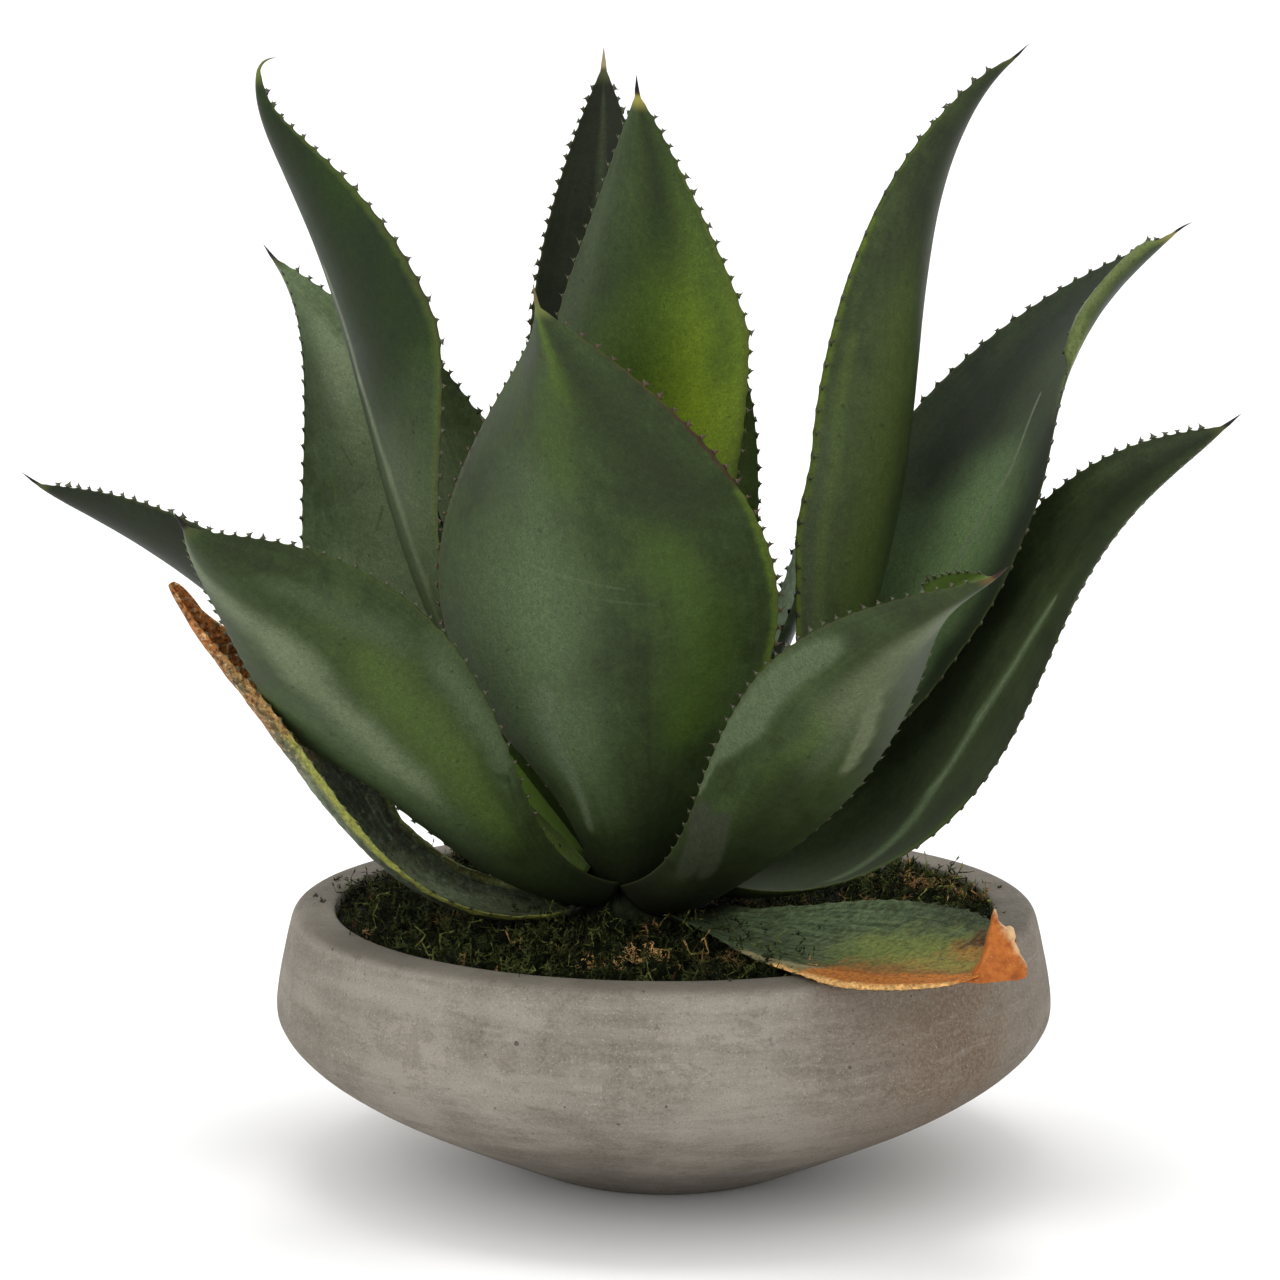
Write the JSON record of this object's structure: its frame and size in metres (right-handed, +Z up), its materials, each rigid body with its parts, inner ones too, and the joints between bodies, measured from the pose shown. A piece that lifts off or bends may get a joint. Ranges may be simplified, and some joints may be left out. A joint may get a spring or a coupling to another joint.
{
  "type": "potted agave plant",
  "caption": "Broad-leaved agave rosette with toothed margins in a low round concrete bowl with moss.",
  "frame": {"origin": "centre of the pot's flat underside", "axes": "+Z up along the pot's turning axis, -Y towards the side that the picture shows, +X to that side's right"},
  "size_m": [0.7192, 0.641, 0.6718],
  "materials": {
    "pot_concrete": "matte",
    "soil_mix": "matte",
    "dark_moss": "matte",
    "crown_green": "satin",
    "leaf_green": "satin",
    "leaf_withering": "satin"
  },
  "bodies": {
    "root": {"crown": "crown_green", "leaf_back_left_low": "leaf_green", "leaf_back_low": "leaf_green", "leaf_back_right_upright": "leaf_green", "leaf_back_upright": "leaf_green", "leaf_front": "leaf_green", "leaf_front_upright": "leaf_green", "leaf_left_back": "leaf_green", "leaf_left_front": "leaf_green", "leaf_left_inner_back": "leaf_green", "leaf_left_low": "leaf_green", "leaf_old_left": "leaf_withering", "leaf_old_right": "leaf_withering", "leaf_right_back": "leaf_green", "leaf_right_front": "leaf_green", "leaf_right_inner_back": "leaf_green", "leaf_right_low": "leaf_green", "leaf_tall_left": "leaf_green", "leaf_tall_right": "leaf_green", "moss": "dark_moss", "pot": "pot_concrete", "soil": "soil_mix"}
  },
  "joints": []
}
